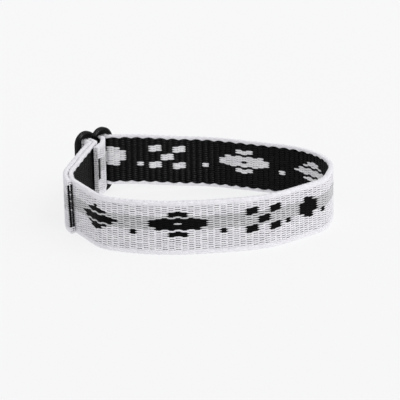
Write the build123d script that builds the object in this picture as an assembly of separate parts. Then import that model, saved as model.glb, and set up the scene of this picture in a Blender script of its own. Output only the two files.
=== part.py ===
from build123d import *
from math import atan2, ceil, cos, degrees, hypot, radians, sin, tan
import os

# Woven bracelet: one strap standing on its edge as a loop, closed by a two-slot slider.
# X runs to the right, Y away from the viewer and Z up. Millimetres.

# Strap
strap_width = 13.0
strap_thickness = 1.2
layer_gap = 0.1           # air between two layers, and between the strap and the slider
outer_end_length = 30.6   # outer end, measured from its bend inside the left slot
inner_end_length = 5.2    # folded inner end, from the fold to its bend
inner_tip_length = 4.3    # folded inner end, from its bend to the cut
fold_radius = 0.95        # middle of the strap round the centre bar
slot_bend_radius = 2.2    # middle of the strap where it leaves a slot
bar_bend_radius = 1.2     # middle of the strap where it passes over a bar
fold_slack = 0.05         # how far the fold stands off the centre bar on its right
fold_reach = 1.9          # how far the fold comes inward from the slider's middle
slot_run = 5.5            # strap in the left slot, from the outside corner to the inside bend

# Loop, measured on the middle line of the strap
loop_width = 64.0
loop_depth = 57.0

# Slider
slider_thickness = 1.7
centre_bar_width = 1.7
slot_play = 1.3           # slot width beyond two layers of strap
slot_spare = 0.4          # slot height beyond the strap's width
slot_corner_radius = 0.4
rim_width = 1.45          # plate beside a slot
end_width = 1.75          # plate above and below a slot
edge_round = 0.3
notch_round = 0.5
slider_turn = 43.0        # degrees from the X axis

# How the strap runs at the slider, in degrees
left_run_turn = 31.8      # left run, from the slider's face
inner_end_turn = 47.0     # folded inner end, from the slider's face
inner_tip_turn = 26.0     # its last stretch
left_slot_lean = 12.0     # strap in the left slot, from the slider's normal
right_slot_lean = 15.0    # strap in the right slot, from the slider's normal

# How far from the slider the strap comes down to the surface it stands on
left_ramp = 24.0
right_ramp = 30.0

# Bends of the loop: corners of the middle line as shares of half the loop's width and depth,
# with the radius as a share of half the width. They run from the left front to the back.
loop_bends = [
    # across, away, radius
    (-0.960, -0.190, 0.25),
    (-0.730, -0.735, 0.30),
    (-0.359, -0.956, 1.00),
    (0.063, -0.912, 1.15),
    (0.491, -0.825, 0.69),
    (0.934, -0.351, 0.38),
    (1.103, 0.512, 0.69),
    (0.103, 1.070, 0.50),
    (-0.206, 1.000, 1.00),
]
left_bend_distance = 0.659   # first bend after the slider, as a share of half the width
left_bend_radius = 0.38
slider_across = -0.834
slider_away = 0.912

facet_angle = 9.0         # degrees of bend in one flat of the wall
facet_length = 3.0

layer_pitch = strap_thickness + layer_gap
clearance = strap_thickness / 2 + layer_gap
half_width = loop_width / 2
half_depth = loop_depth / 2
slot_width = 2 * strap_thickness + slot_play
slot_height = strap_width + slot_spare
slot_pitch = slot_width + centre_bar_width
lobe_radius = slot_width / 2 + rim_width
slider_height = slot_height + 2 * end_width
strap_lift = (slider_height - strap_width) / 2
slider_x = slider_across * half_width
slider_y = slider_away * half_depth


def from_slider(along, inward):
    """Plan point given along the slider's face and inward from its middle plane."""
    turn = radians(slider_turn)
    x = slider_x + along * cos(turn) + inward * sin(turn)
    y = slider_y + along * sin(turn) - inward * cos(turn)
    return (x, y)


def heading(start, end):
    """Direction from one plan point to another, in radians."""
    return atan2(end[1] - start[1], end[0] - start[0])


def turn_between(before, after):
    """Signed turn from one heading to the next, in radians."""
    turn = after - before
    return atan2(sin(turn), cos(turn))


def leftward(point, turn, distance):
    """Point reached from another by going leftward and inward at a turn from the slider's face."""
    return (point[0] - distance * cos(radians(turn)), point[1] + distance * sin(radians(turn)))


def inner_strap_corners():
    """Corners of the strap from its folded inner end to the loop's first bend, with radii."""
    lean = radians(left_slot_lean)
    reach = slider_thickness / 2 + clearance
    side = centre_bar_width / 2 + clearance + fold_slack
    fold_inner = (side, fold_reach)
    end_bend = leftward(fold_inner, inner_end_turn, inner_end_length)
    end_cut = leftward(end_bend, inner_tip_turn, inner_tip_length)
    slot_along = -centre_bar_width / 2 - clearance * (1 - sin(lean)) / cos(lean)
    slot_inner = (slot_along - slot_run * sin(lean), -reach + slot_run * cos(lean))
    bend = leftward(slot_inner, left_run_turn, left_bend_distance * half_width)
    return [
        (*from_slider(*end_cut), 0),
        (*from_slider(*end_bend), 3 * fold_radius),
        (*from_slider(*fold_inner), fold_radius),
        (*from_slider(side, -reach), fold_radius),
        (*from_slider(slot_along, -reach), fold_radius),
        (*from_slider(*slot_inner), slot_bend_radius),
        (*from_slider(*bend), left_bend_radius * half_width),
    ]


def loop_corners():
    """Corners of the loop itself, from the left front round to the back."""
    return [(x * half_width, y * half_depth, r * half_width) for x, y, r in loop_bends]


def outer_strap_corners():
    """Corners of the strap in the right slot, over the centre bar's folded layer."""
    reach = slider_thickness / 2 + clearance
    side = centre_bar_width / 2 + clearance + fold_slack
    lean = radians(right_slot_lean)
    slot_along = side + (layer_pitch * (1 - sin(lean)) + layer_gap) / cos(lean)
    slot_outer = (slot_along, -reach - layer_pitch)
    bar_along = slot_along + tan(lean) * (2 * reach + layer_pitch)
    bar_inner = (bar_along, reach)
    return [
        (*from_slider(*bar_inner), bar_bend_radius),
        (*from_slider(*slot_outer), bar_bend_radius),
    ]


def beside(corners, distance):
    """The same corners moved sideways, to the left of travel, with their radii to suit."""
    moved = []
    for i in range(1, len(corners) - 1):
        before = heading(corners[i - 1], corners[i])
        after = heading(corners[i], corners[i + 1])
        turn = turn_between(before, after)
        middle = before + turn / 2
        shift = distance / cos(turn / 2)
        x = corners[i][0] - shift * sin(middle)
        y = corners[i][1] + shift * cos(middle)
        radius = corners[i][2] - distance if turn > 0 else corners[i][2] + distance
        moved.append((x, y, radius))
    return moved


def rounded_stations(corners):
    """Stations (x, y, heading) along straight runs and tangent arcs through the corners."""
    stations = [(corners[0][0], corners[0][1], heading(corners[0], corners[1]))]
    for i in range(1, len(corners) - 1):
        x, y, radius = corners[i]
        before = heading(corners[i - 1], corners[i])
        turn = turn_between(before, heading(corners[i], corners[i + 1]))
        reach = radius * tan(abs(turn) / 2)
        start = (x - reach * cos(before), y - reach * sin(before))
        side = 1 if turn > 0 else -1
        centre = (start[0] - side * radius * sin(before), start[1] + side * radius * cos(before))
        steps = max(1, ceil(degrees(abs(turn)) / facet_angle), ceil(radius * abs(turn) / facet_length))
        for k in range(steps + 1):
            angle = before + turn * k / steps
            px = centre[0] + side * radius * sin(angle)
            py = centre[1] - side * radius * cos(angle)
            stations.append((px, py, angle))
    last = corners[-1]
    stations.append((last[0], last[1], heading(corners[-2], last)))
    return with_straights_divided(stations)


def with_straights_divided(stations):
    """Adds stations on straight runs, so that the strap can come down gently along them."""
    divided = [stations[0]]
    for start, end in zip(stations, stations[1:]):
        length = hypot(end[0] - start[0], end[1] - start[1])
        steps = max(1, ceil(length / facet_length)) if length > facet_length else 1
        for k in range(1, steps + 1):
            share = k / steps
            x = start[0] + (end[0] - start[0]) * share
            y = start[1] + (end[1] - start[1]) * share
            divided.append((x, y, end[2]))
    return divided


def eased(share):
    """Smooth step from nought to one."""
    share = min(max(share, 0.0), 1.0)
    return share * share * (3 - 2 * share)


def lift_at(x, y):
    """Height of the strap's lower edge over the surface at a plan point."""
    along = (x - slider_x) * cos(radians(slider_turn)) + (y - slider_y) * sin(radians(slider_turn))
    distance = hypot(x - slider_x, y - slider_y) - slot_pitch
    ramp = right_ramp if along > 0 else left_ramp
    return strap_lift * eased(1 - distance / ramp)


def strap_section(station):
    """Rectangle of the strap across its path at one station."""
    x, y, angle = station
    low = lift_at(x, y)
    high = low + strap_width
    across = (sin(angle) * strap_thickness / 2, -cos(angle) * strap_thickness / 2)
    corners = [
        (x - across[0], y - across[1], low),
        (x + across[0], y + across[1], low),
        (x + across[0], y + across[1], high),
        (x - across[0], y - across[1], high),
    ]
    return Wire.make_polygon(corners, close=True)


def outer_end_corners(inner, loop):
    """Corners of the strap's outer end, which lies against the first layer and stops at its cut."""
    run = beside(inner[3:] + loop[:2], -layer_pitch)
    way = heading(loop[0], loop[1])
    left = outer_end_length
    for start, end in zip(run[1:], run[2:]):
        left -= hypot(end[0] - start[0], end[1] - start[1])
    return run + [(run[-1][0] + left * cos(way), run[-1][1] + left * sin(way), 0)]


def make_band():
    inner = inner_strap_corners()
    loop = loop_corners()
    corners = inner + loop + outer_strap_corners() + outer_end_corners(inner, loop)
    sections = [strap_section(station) for station in rounded_stations(corners)]
    return Solid.make_loft(sections, ruled=True).clean()


def make_slider():
    outline = Sketch()
    slots = Sketch()
    for side in (-1, 1):
        centre = Location((side * slot_pitch / 2, 0, 0))
        outline += centre * Rot(0, 0, 90) * SlotOverall(slider_height, 2 * lobe_radius)
        slots += centre * RectangleRounded(slot_width, slot_height, slot_corner_radius)
    notches = outline.vertices().filter_by_position(Axis.X, -0.01, 0.01)
    outline = fillet(notches, notch_round)
    plate = extrude(outline - slots, slider_thickness / 2, both=True)
    faces = plate.faces().filter_by(Axis.Z)
    plate = fillet(faces.edges(), edge_round)
    upright = Rot(0, 0, slider_turn) * Rot(90, 0, 0) * plate
    return Location((slider_x, slider_y, slider_height / 2)) * upright


band = make_band()
slider = make_slider()

# The origin goes under the middle of the whole bracelet, on the surface it stands on
whole = Compound([band, slider]).bounding_box()
to_origin = Location((-whole.center().X, -whole.center().Y, -whole.min.Z))
band = to_origin * band
slider = to_origin * slider

os.makedirs("parts", exist_ok=True)
export_step(band, "parts/band.step")
export_step(slider, "parts/slider.step")
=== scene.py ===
import math
import bmesh
import bpy
import numpy as np
from mathutils import Matrix, Vector


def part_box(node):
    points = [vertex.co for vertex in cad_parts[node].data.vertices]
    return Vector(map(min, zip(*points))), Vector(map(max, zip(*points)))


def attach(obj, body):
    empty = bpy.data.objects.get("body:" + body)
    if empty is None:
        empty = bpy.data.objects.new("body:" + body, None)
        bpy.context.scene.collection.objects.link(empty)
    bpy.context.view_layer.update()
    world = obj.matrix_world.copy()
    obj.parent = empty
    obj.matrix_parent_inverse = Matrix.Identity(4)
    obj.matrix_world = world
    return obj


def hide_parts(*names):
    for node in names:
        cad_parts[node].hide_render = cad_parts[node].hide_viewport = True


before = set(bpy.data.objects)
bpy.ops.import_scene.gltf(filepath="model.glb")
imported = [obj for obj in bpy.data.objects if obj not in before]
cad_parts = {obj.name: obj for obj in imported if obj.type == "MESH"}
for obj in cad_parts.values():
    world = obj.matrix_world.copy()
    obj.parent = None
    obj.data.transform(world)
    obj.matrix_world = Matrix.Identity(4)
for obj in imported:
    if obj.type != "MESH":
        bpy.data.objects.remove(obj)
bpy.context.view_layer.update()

mm = 0.001
cm = 10.0                # in mm, the unit of the yarns' own map
rng = np.random.default_rng(7)

# The strap's path, in mm and degrees
path = {
    "width": 13.0, "thickness": 1.2, "layerGap": 0.1,
    "outerEnd": 30.6,    # from its bend inside the left slot to the cut
    "cutSlant": 1.2, "slantReach": 6.0,     # the outer cut's slant, and the length that it is eased over
    "innerEnd": 5.2, "innerTip": 4.3,       # the two stretches of the folded end
    "foldRadius": 0.95, "slotBendRadius": 2.2, "barBendRadius": 1.2,
    "foldSlack": 0.05, "foldReach": 1.9, "slotRun": 5.5,
    "loopWidth": 64.0, "loopDepth": 57.0,
    "sliderThickness": 1.7, "centreBar": 1.7, "slotPlay": 1.3, "sliderHeight": 16.9,
    "sliderTurn": 43.0, "leftRunTurn": 31.8, "innerEndTurn": 47.0, "innerTipTurn": 26.0,
    "leftSlotLean": 12.0, "rightSlotLean": 15.0, "leftRamp": 24.0, "rightRamp": 30.0,
    "leftBend": (0.659, 0.38), "sliderAt": (-0.834, 0.912),
    # bends of the loop: across, away and radius, as shares of half the loop's width and depth
    "bends": [(-0.960, -0.190, 0.25), (-0.730, -0.735, 0.30), (-0.359, -0.956, 1.00),
              (0.063, -0.912, 1.15), (0.491, -0.825, 0.69), (0.934, -0.351, 0.38),
              (1.103, 0.512, 0.69), (0.103, 1.070, 0.50), (-0.206, 1.000, 1.00)],
    "arcStep": 2,        # degrees between two stations on an arc
}
layerPitch = path["thickness"] + path["layerGap"]
clearance = path["thickness"] / 2 + path["layerGap"]
halfWidth = path["loopWidth"] / 2
halfDepth = path["loopDepth"] / 2
slotPitch = 2 * path["thickness"] + path["slotPlay"] + path["centreBar"]
sliderX = path["sliderAt"][0] * halfWidth
sliderY = path["sliderAt"][1] * halfDepth
sliderTurn = math.radians(path["sliderTurn"])


def fromSlider(along, inward):   # plan point, from the slider's middle
    return (sliderX + along * math.cos(sliderTurn) + inward * math.sin(sliderTurn),
            sliderY + along * math.sin(sliderTurn) - inward * math.cos(sliderTurn))


def heading(a, b):
    return math.atan2(b[1] - a[1], b[0] - a[0])


def turnBetween(before, after):
    return math.atan2(math.sin(after - before), math.cos(after - before))


def leftward(point, turn, distance):
    turn = math.radians(turn)
    return (point[0] - distance * math.cos(turn), point[1] + distance * math.sin(turn))


def beside(corners, distance):   # the same run one layer further out, with radii to suit
    moved = []
    for last, here, after in zip(corners, corners[1:], corners[2:]):
        before = heading(last, here)
        turn = turnBetween(before, heading(here, after))
        middle = before + turn / 2
        shift = distance / math.cos(turn / 2)
        radius = here[2] - distance if turn > 0 else here[2] + distance
        moved.append((here[0] - shift * math.sin(middle), here[1] + shift * math.cos(middle), radius))
    return moved


def strapCorners():              # from the folded end round the loop to the outer cut
    reach = path["sliderThickness"] / 2 + clearance
    side = path["centreBar"] / 2 + clearance + path["foldSlack"]
    fold, bar = path["foldRadius"], path["barBendRadius"]

    lean = math.radians(path["leftSlotLean"])
    foldInner = (side, path["foldReach"])
    endBend = leftward(foldInner, path["innerEndTurn"], path["innerEnd"])
    endCut = leftward(endBend, path["innerTipTurn"], path["innerTip"])
    slotAlong = -path["centreBar"] / 2 - clearance * (1 - math.sin(lean)) / math.cos(lean)
    slotInner = (slotAlong - path["slotRun"] * math.sin(lean),
                 -reach + path["slotRun"] * math.cos(lean))
    firstBend = leftward(slotInner, path["leftRunTurn"], path["leftBend"][0] * halfWidth)
    inner = [(*fromSlider(*endCut), 0), (*fromSlider(*endBend), 3 * fold),
             (*fromSlider(*foldInner), fold), (*fromSlider(side, -reach), fold),
             (*fromSlider(slotAlong, -reach), fold),
             (*fromSlider(*slotInner), path["slotBendRadius"]),
             (*fromSlider(*firstBend), path["leftBend"][1] * halfWidth)]
    loop = [(x * halfWidth, y * halfDepth, r * halfWidth) for x, y, r in path["bends"]]

    lean = math.radians(path["rightSlotLean"])
    slotAlong = side + (layerPitch * (1 - math.sin(lean)) + path["layerGap"]) / math.cos(lean)
    barAlong = slotAlong + math.tan(lean) * (2 * reach + layerPitch)
    outer = [(*fromSlider(barAlong, reach), bar),
             (*fromSlider(slotAlong, -reach - layerPitch), bar)]

    end = beside(inner[3:] + loop[:2], -layerPitch)
    way = heading(loop[0], loop[1])
    left = path["outerEnd"] - sum(math.dist(a[:2], b[:2]) for a, b in zip(end[1:], end[2:]))
    end.append((end[-1][0] + left * math.cos(way), end[-1][1] + left * math.sin(way), 0))
    return inner + loop + outer + end


def pathTable(corners):          # stations on straights and tangent arcs: distance run, x, y, heading
    rows = [(corners[0][0], corners[0][1], heading(corners[0], corners[1]))]
    for last, here, after in zip(corners, corners[1:], corners[2:]):
        before = heading(last, here)
        turn = turnBetween(before, heading(here, after))
        reach = here[2] * math.tan(abs(turn) / 2)
        side = 1 if turn > 0 else -1
        x = here[0] - reach * math.cos(before) - side * here[2] * math.sin(before)
        y = here[1] - reach * math.sin(before) + side * here[2] * math.cos(before)
        steps = max(4, math.ceil(math.degrees(abs(turn)) / path["arcStep"]))
        for k in range(steps + 1):
            angle = before + turn * k / steps
            rows.append((x + side * here[2] * math.sin(angle),
                         y - side * here[2] * math.cos(angle), angle))
    rows.append((corners[-1][0], corners[-1][1], heading(corners[-2], corners[-1])))
    rows = np.array(rows)
    run = np.r_[0, np.cumsum(np.hypot(*np.diff(rows[:, :2], axis=0).T))]
    return run, rows[:, 0], rows[:, 1], np.unwrap(rows[:, 2])


run, pathX, pathY, pathAngle = pathTable(strapCorners())
strapLength = run[-1]

# The scene's origin is the CAD's, under the middle of the strap's box
halfThick = path["thickness"] / 2
sideX = np.r_[pathX + halfThick * np.sin(pathAngle), pathX - halfThick * np.sin(pathAngle)]
sideY = np.r_[pathY - halfThick * np.cos(pathAngle), pathY + halfThick * np.cos(pathAngle)]
nodeLow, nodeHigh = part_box("band")
shiftX = (sideX.min() + sideX.max()) / 2 - (nodeLow.x + nodeHigh.x) / 2 / mm
shiftY = (sideY.min() + sideY.max()) / 2 - (nodeLow.y + nodeHigh.y) / 2 / mm
print("strap", round(strapLength, 1), "mm, origin moved by", round(shiftX, 3), round(shiftY, 3))


def onStrap(points):             # (along, up, outward) in mm on the flat strap, to metres on the bent one
    along, up, out = points[:, 0], points[:, 1], points[:, 2]
    slant = np.clip((along - strapLength + path["slantReach"]) / path["slantReach"], 0, 1)
    along = along - path["cutSlant"] * slant * up / path["width"]
    angle = np.interp(along, run, pathAngle)
    beyond = along - np.clip(along, 0, strapLength)
    x = np.interp(along, run, pathX) + beyond * np.cos(angle)
    y = np.interp(along, run, pathY) + beyond * np.sin(angle)
    ahead = (x - sliderX) * math.cos(sliderTurn) + (y - sliderY) * math.sin(sliderTurn)
    far = np.hypot(x - sliderX, y - sliderY) - slotPitch
    share = np.clip(1 - far / np.where(ahead > 0, path["rightRamp"], path["leftRamp"]), 0, 1)
    lift = (path["sliderHeight"] - path["width"]) / 2 * share * share * (3 - 2 * share)
    bent = np.c_[x + out * np.sin(angle) - shiftX, y - out * np.cos(angle) - shiftY, up + lift]
    return bent * mm


# Materials
def colour(code):                # linear colour from an sRGB hex value
    channels = [int(code[i:i + 2], 16) / 255 for i in (1, 3, 5)]
    return [c / 12.92 if c <= 0.04045 else ((c + 0.055) / 1.055) ** 2.4 for c in channels] + [1.0]


def addNode(tree, kind, inputs=None, links=None, **settings):
    node = tree.nodes.new(kind)
    for key, value in settings.items():
        setattr(node, key, value)
    for key, value in (inputs or {}).items():
        node.inputs[key].default_value = value
    for key, socket in (links or {}).items():
        tree.links.new(socket, node.inputs[key])
    return node


def newMaterial(name, base, **shader):
    material = bpy.data.materials.new(name)
    material.use_nodes = True
    tree = material.node_tree
    surface = tree.nodes["Principled BSDF"]
    surface.inputs["Base Color"].default_value = colour(base)
    for key, value in shader.items():
        surface.inputs[key.replace("_", " ")].default_value = value
    material.diffuse_color = colour(base)
    return material, tree, surface


def addGrain(tree, surface, scale, strength, depth, detail=2.0):   # fine even grain; depth in metres
    coords = addNode(tree, "ShaderNodeTexCoord")
    grain = addNode(tree, "ShaderNodeTexNoise", {"Scale": scale, "Detail": detail},
                    {"Vector": coords.outputs["Object"]})
    bump = addNode(tree, "ShaderNodeBump", {"Strength": strength, "Distance": depth},
                   {"Height": grain.outputs["Fac"]})
    tree.links.new(bump.outputs[0], surface.inputs["Normal"])
    return grain


# Woven polyester: filaments run along each float, and every float has a tone of its own
def yarn(name, base, shade, rough, sheen, bump, gloss=0.2):
    material, tree, surface = newMaterial(name, base, Roughness=rough, Specular_IOR_Level=gloss,
                                          Sheen_Weight=sheen, Sheen_Roughness=0.5)
    uv = addNode(tree, "ShaderNodeUVMap", uv_map="strapMap")
    tone = addNode(tree, "ShaderNodeAttribute", attribute_name="tone")
    stretch = addNode(tree, "ShaderNodeMapping", {"Scale": (1.2, 9.0, 1.0)},    # drawn out along the strap
                      {"Vector": uv.outputs["UV"]})
    filaments = addNode(tree, "ShaderNodeTexNoise", {"Scale": 1.0, "Detail": 3.0},
                        {"Vector": stretch.outputs[0]})
    fine = addNode(tree, "ShaderNodeMath", {1: 0.45}, {0: filaments.outputs["Fac"]},
                   operation="MULTIPLY")
    both = addNode(tree, "ShaderNodeMath", {1: 0.55}, {0: tone.outputs["Fac"], 2: fine.outputs[0]},
                   operation="MULTIPLY_ADD")
    mix = addNode(tree, "ShaderNodeMix", {6: colour(shade), 7: colour(base)},
                  {0: both.outputs[0]}, data_type="RGBA")
    tree.links.new(mix.outputs[2], surface.inputs["Base Color"])
    height = addNode(tree, "ShaderNodeBump", {"Strength": bump, "Distance": 0.00006},
                     {"Height": filaments.outputs["Fac"]})
    tree.links.new(height.outputs[0], surface.inputs["Normal"])
    return material


# columns: name, lit colour, shaded colour, roughness, sheen, bump, gloss
whiteYarn = yarn("whitePolyesterYarn", "#F4F3F5", "#DDDBE1", 0.6, 0.10, 0.5)    # cool white, soft sheen
greyYarn = yarn("greyPolyesterYarn", "#DADADB", "#C3C3C6", 0.6, 0.08, 0.5)      # the pale grey stripe
blackYarn = yarn("blackPolyesterYarn", "#0A0A0B", "#040405", 0.5, 0.0, 0.6, 0.05)     # flat black figures
innerYarn = yarn("blackBackPolyesterYarn", "#161618", "#040405", 0.36, 0.0, 0.8, 0.12)   # ribs that glint
lightYarn = yarn("palePolyesterYarn", "#F6F5F7", "#DEDDE1", 0.6, 0.10, 0.5)     # figures on the inner face
selvedgeYarn = yarn("whiteSelvedgeYarn", "#F6F5F7", "#E6E4EA", 0.58, 0.10, 0.4)      # brightest white
selvedgeGroundShade = yarn("selvedgeGroundPaintedShade", "#F0EFF3", "#E4E3E8", 0.8, 0.0, 0.3)   # painted shade between the roll's yarns, a little darker than them
outerGroundShade = yarn("whiteGroundPaintedShade", "#3E3D43", "#2E2D32", 0.85, 0.0, 0.3)   # painted shade in the slits between floats, with the black back layer showing through
stripeGroundShade = yarn("greyGroundPaintedShade", "#0C0C0E", "#060607", 0.85, 0.0, 0.3, 0.1)   # painted shade in the stripe's slits, darker still, with the black back layer showing through
innerGround = yarn("blackGround", "#060607", "#020203", 0.85, 0.0, 0.3, 0.1)    # black between the ribs
cutYarn = yarn("fusedGreyYarnEnds", "#8C8B90", "#3A393D", 0.5, 0.0, 0.6)        # melted, mottled grey


# Mesh helpers
def addPiece(name, mesh, materials):
    for material in materials:
        mesh.materials.append(material)
    piece = bpy.data.objects.new(name, mesh)
    bpy.context.scene.collection.objects.link(piece)
    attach(piece, "root")
    return piece


def setTone(mesh, tone):
    attribute = mesh.attributes.new("tone", "FLOAT", "POINT")
    attribute.data.foreach_set("value", np.asarray(tone, dtype=np.float32))


def finishPiece(name, verts, faces, materials, faceMaterial, uv, tone):    # one joined mesh from arrays
    mesh = bpy.data.meshes.new(name)
    flat = [i for f in faces for i in f]
    sizes = np.array([len(f) for f in faces])
    starts = np.r_[0, np.cumsum(sizes)[:-1]]
    mesh.vertices.add(len(verts))
    mesh.vertices.foreach_set("co", np.asarray(verts, dtype=np.float32).ravel())
    mesh.loops.add(len(flat))
    mesh.loops.foreach_set("vertex_index", flat)
    mesh.polygons.add(len(faces))
    mesh.polygons.foreach_set("loop_start", starts)
    mesh.polygons.foreach_set("material_index", faceMaterial)
    mesh.update(calc_edges=True)
    mesh.validate()
    mesh.shade_smooth()
    layer = mesh.uv_layers.new(name="strapMap")
    layer.data.foreach_set("uv", np.asarray(uv)[flat].astype(np.float32).ravel())
    setTone(mesh, tone)
    return addPiece(name, mesh, materials)


def shapeOf(mesh):               # points and faces of a small bmesh, which is then freed
    mesh.verts.ensure_lookup_table()
    points = np.array([v.co[:] for v in mesh.verts])
    faces = [[v.index for v in f.verts] for f in mesh.faces]
    mesh.free()
    return points, faces


# The woven faces
weave = {
    "pick": 1.52,            # mm from rib to rib along the strap
    "row": 0.54,             # mm from yarn to yarn up the strap
    "rows": 20,
    "selvedge": 1.10,        # mm of white roll at each edge, on the outer face
    "innerSelvedge": 1.02,   # and on the inner one
    # half the length, height and thickness of one float
    "outerFloat": (1.06, 0.228, 0.20),
    "stripeFloat": (1.06, 0.208, 0.20),
    "innerFloat": (0.80, 0.262, 0.24),
    "figureFloat": (1.12, 0.285, 0.19),
    "paleFloat": (1.00, 0.275, 0.18),
    "sizeSpread": 0.05,      # how much one float differs from the next, as a share
    "placeSpread": (0.025, 0.012, 0.012),
    "endMargin": 0.2,        # no float starts nearer to the cut
    "faceLimit": 0.625,      # nothing stands further from the strap's middle
    "stripe": (5, 10),       # rows of the grey stripe, counted from the top
    "start": 37,             # picks from the cut to the repeat's first figure
    "repeat": 57,
    "tailBar": (0, 4, 13),   # pick and rows of the one bar that shows on the folded end
}

# Figures of the repeat, charted: first pick, top row, and one letter for each pick and yarn
figures = [
    (0, 3, ["....#....", "...###...", "..#####..", ".........", ".#######.", "#########",
            ".#######.", ".........", "..#####..", "...###...", "....#...."]),
    (11, 11, ["#", "#"]),
    (14, 3, ["...###...", "...###...", ".........", ".#######.", "#########", "####.####",
             "#########", ".#######.", ".........", "...###...", "...###..."]),
    (25, 11, ["#", "#"]),
    (29, 3, ["##..##", "##..##", "##..##", "......", "..##..", "..##..", "..##..", "......",
             "##..##", "##..##", "##..##"]),
    (36, 11, ["#", "#"]),
    (39, 4, [".##.", ".##.", "####", "####", "####", "####", "####", ".##.", ".##."]),
    (44, 11, ["#", "#"]),
]


def isFigure(pick, row):
    barPick, barTop, barEnd = weave["tailBar"]
    if pick == barPick and barTop <= row <= barEnd:
        return True
    if pick < weave["start"]:    # plain where the strap folds round the slider and lies doubled
        return False
    place = (pick - weave["start"]) % weave["repeat"]
    for first, top, chart in figures:
        if first <= place < first + len(chart[0]) and top <= row < top + len(chart):
            return chart[row - top][place - first] == "#"
    return False


def lens(size, sides=8, rings=6):    # one float, whose poles lie along the strap
    mesh = bmesh.new()
    bmesh.ops.create_uvsphere(mesh, u_segments=sides, v_segments=rings, radius=1.0,
                              matrix=Matrix.Rotation(math.pi / 2, 4, "Y"))
    points, faces = shapeOf(mesh)
    return points * np.array(size), faces


def joinCopies(name, shape, places, materials, over=0.0):    # places: along, up, out, material
    points, faces = shape
    places = np.array(places)
    count = len(places)
    spread, limit = weave["sizeSpread"], weave["faceLimit"]
    scale = 1 + rng.uniform(-spread, spread, (count, 1, 3))
    moved = points[None] * scale + places[:, None, :3]
    moved += rng.normal(0, 1, (count, 1, 3)) * np.array(weave["placeSpread"])
    moved = moved.reshape(-1, 3)
    moved[:, 0] = np.clip(moved[:, 0], -over, strapLength + over)
    moved[:, 2] = np.clip(moved[:, 2], -limit, limit)
    tone = np.repeat(rng.uniform(0, 1, count), len(points))
    order = [[i + k * len(points) for i in f] for k in range(count) for f in faces]
    slots = np.repeat(places[:, 3].astype(int), len(faces))
    return finishPiece(name, onStrap(moved), order, materials, slots, moved[:, :2] / cm, tone)


def pickPlaces():                # number and middle of each pick
    for pick in range(int(strapLength / weave["pick"]) + 1):
        along = (pick + 0.5) * weave["pick"]
        if along <= strapLength - weave["endMargin"]:
            yield pick, along


def weaveFaces():
    white, grey, black, innerBlack, innerLight = [], [], [], [], []
    top = path["width"] - weave["selvedge"] - weave["row"] / 2
    outer, inner = halfThick - weave["outerFloat"][2], -halfThick + weave["innerFloat"][2]
    for pick, along in pickPlaces():
        odd = pick % 2           # every other column stands half a yarn higher and has one more
        for row in range(weave["rows"] + odd):
            up = top - (row - odd / 2) * weave["row"]
            figure = isFigure(pick, row)
            striped = weave["stripe"][0] <= row <= weave["stripe"][1]
            target = black if figure else grey if striped else white
            target.append((along, up, outer, 0))
            target = innerLight if figure else innerBlack
            target.append((along, up, inner, 0))
    joinCopies("bandOuterWhite", lens(weave["outerFloat"]), white, [whiteYarn])
    joinCopies("bandOuterGrey", lens(weave["stripeFloat"]), grey, [greyYarn])
    joinCopies("bandOuterBlack", lens(weave["figureFloat"]), black, [blackYarn])
    joinCopies("bandInnerBlack", lens(weave["innerFloat"], 8, 4), innerBlack, [innerYarn])
    joinCopies("bandInnerPale", lens(weave["paleFloat"]), innerLight, [lightYarn])
    print("weave:", len(white), "white,", len(grey), "grey,", len(black), "black floats")


# The selvedges' yarns, in mm from the edge and from the strap's middle
selvedge = {
    "float": (0.96, 0.245, 0.18),
    "outerUp": (0.88, 0.48), "outerDrop": 0.16, "outerOut": 0.44,    # two rows on the outer face
    "innerUp": 0.36, "innerDrop": 0.1, "innerOut": -0.46,            # one row on the inner face
    "turn": (0.34, 0.15, 0.62),          # the weft's turn over the edge
    "turnLow": 0.17, "turnHigh": 0.08,   # its middle, from the lower and the upper edge
    "turnDeep": 0.14, "turnMargin": 0.3,
    "wave": 0.40, "swell": 0.025, "dip": 0.07, "step": 0.38,
}


def selvedgeYarns():
    rows = []
    for pick, along in pickPlaces():
        odd = pick % 2
        for up in selvedge["outerUp"]:
            up = up - selvedge["outerDrop"] * odd
            rows += [(along, up, selvedge["outerOut"], 0),
                     (along, path["width"] - up, selvedge["outerOut"], 0)]
        up = selvedge["innerUp"] - selvedge["innerDrop"] * odd
        rows += [(along, up, selvedge["innerOut"], 0),
                 (along, path["width"] - up, selvedge["innerOut"], 0)]
    joinCopies("bandSelvedgeYarns", lens(selvedge["float"]), rows, [selvedgeYarn])

    turns = []                   # at every rib and, deeper, between two ribs
    pitch = weave["pick"] / 2
    for k, along in enumerate(np.arange(pitch, strapLength - selvedge["turnMargin"], pitch)):
        deep = selvedge["turnDeep"] * (k % 2)
        turns += [(along, selvedge["turnLow"] + deep, 0, 0),
                  (along, path["width"] - selvedge["turnHigh"] - deep, 0, 0)]
    joinCopies("bandEdgeLoops", lens(selvedge["turn"], 6, 5), turns, [selvedgeYarn])


# The heat-cut ends: the folded one white, the outer one black with a grey and white row in it
cut = {
    "yarn": (0.10, 0.26, 0.2), "over": 0.13,     # how far the melted yarns stand beyond the cut
    "top": 0.75, "rows": (-1, 23), "blackRows": (1, 19),
    "whiteDots": (1, 2, 3, 5, 8, 12),
    # columns of the outer end: lowered by, outward
    "dotted": (0, -0.04), "plain": [(0, -0.40), (0.15, 0.50), (0.1, 0.22)],
    "foldedAlong": -0.03, "foldedOut": 0.42, "foldedPitch": 0.28, "foldedDrop": 0.1,
}


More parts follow.
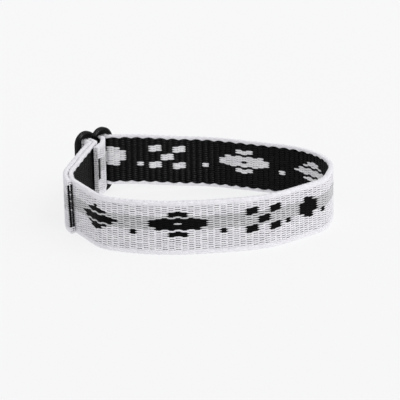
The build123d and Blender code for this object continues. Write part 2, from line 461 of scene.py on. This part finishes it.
def cutEnds():
    ends = []
    grey, black, white = 0, 1, 2         # places in the material list below
    for row in range(*cut["rows"]):
        up = path["width"] - cut["top"] - row * weave["row"]
        edge = not cut["blackRows"][0] <= row <= cut["blackRows"][1]     # selvedges are white throughout
        columns = [(*place, white if edge else black) for place in cut["plain"]]
        columns.insert(2, (*cut["dotted"], white if edge or row in cut["whiteDots"] else grey))
        ends += [(strapLength, up - drop, out, tint) for drop, out, tint in columns]
        ends += [(cut["foldedAlong"], up - cut["foldedDrop"] * (k % 2),
                  cut["foldedOut"] - cut["foldedPitch"] * k, white) for k in range(4)]
    joinCopies("bandCutEnds", lens(cut["yarn"], 8, 5), ends, [cutYarn, innerGround, whiteYarn],
               cut["over"])


def stripAlong(name, profile, step, materials, materialOf):  # profile(along): outline as (up, out) rows
    stations = np.linspace(0, strapLength, int(strapLength / step) + 1)
    count = len(profile(0.0))
    mesh = bmesh.new()
    grid = bmesh.ops.create_grid(mesh, x_segments=len(stations) - 1, y_segments=count, size=0.5)
    places = np.array([v.co[:2] for v in grid["verts"]]) + 0.5
    station = np.rint(places[:, 0] * (len(stations) - 1)).astype(int)
    corner = np.rint(places[:, 1] * count).astype(int) % count
    outlines = np.array([profile(s) for s in stations])
    flat = np.c_[stations[station], outlines[station, corner]]
    for v, point in zip(grid["verts"], onStrap(flat)):
        v.co = point
    uvLayer = mesh.loops.layers.uv.new("strapMap")
    index = {v: i for i, v in enumerate(grid["verts"])}
    for face in mesh.faces:
        for loop in face.loops:
            loop[uvLayer].uv = flat[index[loop.vert], :2] / cm
        face.material_index = materialOf(flat[[index[v] for v in face.verts]].mean(0))
        face.smooth = True
    bmesh.ops.remove_doubles(mesh, verts=mesh.verts, dist=1e-7)      # closes the roll along its seam
    bmesh.ops.holes_fill(mesh, edges=[e for e in mesh.edges if e.is_boundary], sides=0)
    bmesh.ops.recalc_face_normals(mesh, faces=mesh.faces)
    data = bpy.data.meshes.new(name)
    mesh.to_mesh(data)
    mesh.free()
    setTone(data, np.full(len(data.vertices), 0.5))
    return addPiece(name, data, materials)


# The dark ground that shows between the floats: painted shade in the gaps, and the black back layer
core = {"inset": 0.35, "out": 0.36, "step": 0.5, "innerBelow": 0.1}


def coreProfile(along):
    low, high, out = core["inset"], path["width"] - core["inset"], core["out"]
    top, bottom = (path["width"] - weave["selvedge"] - k * weave["row"] for k in weave["stripe"])
    return [(low, -out), (low, 0.0), (low, out), (bottom, out), (top, out), (high, out), (high, 0.0),
            (high, -out), (top, -out), (bottom, -out)]


def coreMaterial(point):
    if point[2] < core["innerBelow"]:
        return 2
    row = (path["width"] - weave["selvedge"] - point[1]) / weave["row"]
    return 1 if weave["stripe"][0] < row < weave["stripe"][1] else 0


def selvedgeProfile(along, top):
    turn = 2 * math.pi * along / weave["pick"]
    wave = selvedge["wave"] * abs(math.sin(turn / 4))    # its border on the inner face, at every second rib
    swell = selvedge["swell"] * math.cos(turn)
    dip = -selvedge["dip"] * (1 + math.cos(turn))        # between two ribs
    reach, inner = weave["selvedge"], weave["innerSelvedge"]
    rows = [(-reach - 0.05, 0.34), (-reach, 0.42), (-reach + 0.4, 0.48), (-0.30, 0.51 + swell),
            (-0.07 + dip, 0.49 + swell), (-0.01 + dip, 0.42), (dip, 0.0), (-0.01 + dip, -0.46),
            (-0.07, -0.54 - swell), (-0.30, -0.57 - swell), (-inner + 0.42, -0.56),
            (-inner + 0.10 + wave, -0.55), (-inner + wave, -0.38), (-0.6, 0.0)]
    if top:
        return [(path["width"] + up, out) for up, out in rows]
    return [(-up, out) for up, out in reversed(rows)]


coreStrip = stripAlong("bandCore", coreProfile, core["step"],
                       [outerGroundShade, stripeGroundShade, innerGround], coreMaterial)
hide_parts("band")
for name, top in (("bandTopSelvedge", True), ("bandBottomSelvedge", False)):
    stripAlong(name, lambda s, top=top: selvedgeProfile(s, top), selvedge["step"],
               [selvedgeGroundShade], lambda point: 0)
print("core and selvedges made")
weaveFaces()
selvedgeYarns()
cutEnds()
print("selvedge yarns and cut ends made")


# The slider
slider = {
    "lobe": 3.3, "lobeSteps": 34, "notch": 0.5, "notchSteps": 7,
    "slot": (3.7, 13.4), "slotCorner": 0.4, "cornerSteps": 7,
    # half of a wall, from its parting line to the face: distance inward, distance from the middle
    "side": [(0.08, 0.0), (0.0, 0.08), (0.0, 0.36), (0.03, 0.44), (0.09, 0.48), (0.14, 0.50),
             (0.17, 0.56), (0.24, 0.67), (0.36, 0.77), (0.50, 0.83), (0.62, 0.85), (0.68, 0.85)],
    "slotSide": [(0.0, 0.0), (0.0, 0.68), (-0.03, 0.77), (-0.10, 0.83), (-0.18, 0.85), (-0.22, 0.85)],
    "sharpAngle": 50.0,
}

# Moulded acetal: near black, a soft uneven gloss from the mould
sliderPlastic, tree, surface = newMaterial("mouldedBlackAcetal", "#060607", Roughness=0.3, IOR=1.48,
                                           Specular_IOR_Level=0.14)
grain = addGrain(tree, surface, 900.0, 0.2, 0.00003, 3.0)
worn = addNode(tree, "ShaderNodeMapRange", {"To Min": 0.20, "To Max": 0.34},
               {"Value": grain.outputs["Fac"]})
tree.links.new(worn.outputs["Result"], surface.inputs["Roughness"])


def lobeRing(inset):             # outline of the two joined round-ended lobes, drawn inward
    radius, notch = slider["lobe"] - inset, slider["notch"] + inset
    straight = path["sliderHeight"] / 2 - slider["lobe"]
    apart = slotPitch / 2
    rise = math.sqrt((slider["lobe"] + slider["notch"]) ** 2 - apart ** 2)
    meet = math.atan2(rise, -apart)
    quarter = [(apart + radius * math.cos(a), straight + radius * math.sin(a))
               for a in np.linspace(0, meet, slider["lobeSteps"])]
    quarter += [(notch * math.cos(a), straight + rise + notch * math.sin(a))
                for a in np.linspace(meet - math.pi, -math.pi / 2, slider["notchSteps"])[1:]]
    top = quarter + [(-x, y) for x, y in quarter[-2::-1]]
    return top + [(-x, -y) for x, y in top]


def slotRing(side, inset):       # outline of one slot; a negative inset widens it
    radius = slider["slotCorner"] - inset
    wide, high = (size / 2 - slider["slotCorner"] for size in slider["slot"])
    ring = []
    for turn, (x, y) in enumerate([(1, 1), (-1, 1), (-1, -1), (1, -1)]):
        for a in np.linspace(turn, turn + 1, slider["cornerSteps"]) * math.pi / 2:
            ring.append((side * slotPitch / 2 + x * wide + radius * math.cos(a),
                         y * high + radius * math.sin(a)))
    return ring


def wallOf(mesh, ringOf, half):  # bridges the rings of both halves, and returns the two end rings
    rings = []
    for inset, high in [(inset, -high) for inset, high in half[:0:-1]] + half:
        corners = [mesh.verts.new((x, y, high)) for x, y in ringOf(inset)]
        rings.append([mesh.edges.new(pair) for pair in zip(corners, corners[1:] + corners[:1])])
    for low, high in zip(rings, rings[1:]):
        bmesh.ops.bridge_loops(mesh, edges=low + high)
    return rings[0], rings[-1]


mesh = bmesh.new()
ends = [wallOf(mesh, lobeRing, slider["side"])]
for side in (-1, 1):
    ends.append(wallOf(mesh, lambda inset: slotRing(side, inset), slider["slotSide"]))
for face in zip(*ends):          # the two flat faces, each between one outer ring and two slots
    bmesh.ops.triangle_fill(mesh, use_beauty=True, edges=[e for ring in face for e in ring])
bmesh.ops.recalc_face_normals(mesh, faces=mesh.faces)
upright = Matrix.Rotation(sliderTurn, 4, "Z") @ Matrix.Rotation(math.pi / 2, 4, "X")
place = Matrix.Translation((sliderX - shiftX, sliderY - shiftY, path["sliderHeight"] / 2))
bmesh.ops.transform(mesh, matrix=Matrix.Scale(mm, 4) @ place @ upright, verts=mesh.verts)
for face in mesh.faces:
    face.smooth = True
data = bpy.data.meshes.new("sliderBody")
mesh.to_mesh(data)
mesh.free()
data.set_sharp_from_angle(angle=math.radians(slider["sharpAngle"]))
sliderBody = addPiece("sliderBody", data, [sliderPlastic])
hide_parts("slider")
print("slider made:", len(data.polygons), "faces")


# Floor, light and camera
# Matt acrylic sheet, lit from below, which keeps the shade under the loop light
floorAcrylic, tree, surface = newMaterial("mattAcrylicFloor", "#6F6F6F", Roughness=0.95,
                                          Emission_Strength=0.755)
surface.inputs["Emission Color"].default_value = colour("#FEFEFF")
addGrain(tree, surface, 900.0, 0.02, 0.00002)
mesh = bmesh.new()
bmesh.ops.create_grid(mesh, x_segments=8, y_segments=8, size=3.0)
floorMesh = bpy.data.meshes.new("floor")
mesh.to_mesh(floorMesh)
mesh.free()
floorMesh.materials.append(floorAcrylic)
floor = bpy.data.objects.new("floor", floorMesh)
bpy.context.scene.collection.objects.link(floor)

world = bpy.data.worlds.new("studio")
bpy.context.scene.world = world
bpy.context.scene.view_settings.view_transform = "Standard"
world.use_nodes = True
world.node_tree.nodes["Background"].inputs["Color"].default_value = colour("#F8F8F9")
world.node_tree.nodes["Background"].inputs["Strength"].default_value = 0.65


def addSun(name, energy, angle, toLight):
    sun = bpy.data.objects.new(name, bpy.data.lights.new(name, "SUN"))
    sun.data.energy = energy
    sun.data.angle = math.radians(angle)
    sun.rotation_euler = Vector(toLight).to_track_quat("Z", "Y").to_euler()
    bpy.context.scene.collection.objects.link(sun)
    return sun


addSun("key", 1.3, 85, (0.70, -0.45, 1.0))
softbox = addSun("softbox", 2.2, 12, (0.40, -0.55, 0.75))
softbox.visible_diffuse = False      # only its glints on the slider and the black yarn are wanted

view = {
    "aim": (0.0, 0.0, 5.3),  # mm, before the origin's move
    "distance": 575.0, "elevation": 16.5, "roll": -1.2,
    "focal": 2357.0, "imageWidth": 400.0,    # pixels
    "sensor": 36.0, "near": 0.01, "far": 20.0,
}
camera = bpy.data.objects.new("camera", bpy.data.cameras.new("camera"))
bpy.context.scene.collection.objects.link(camera)
bpy.context.scene.camera = camera
camera.data.sensor_width = view["sensor"]
camera.data.lens = view["focal"] / view["imageWidth"] * view["sensor"]
camera.data.clip_start = view["near"]
camera.data.clip_end = view["far"]
rise = math.radians(view["elevation"])
aim = Vector((view["aim"][0] - shiftX, view["aim"][1] - shiftY, view["aim"][2])) * mm
back = Vector((0.0, -math.cos(rise), math.sin(rise)))
tilt = Matrix.Rotation(math.radians(90 - view["elevation"]), 4, "X")
roll = Matrix.Rotation(math.radians(view["roll"]), 4, "Z")
camera.matrix_world = Matrix.Translation(aim + back * view["distance"] * mm) @ tilt @ roll
print("stage set")

bpy.context.view_layer.update()
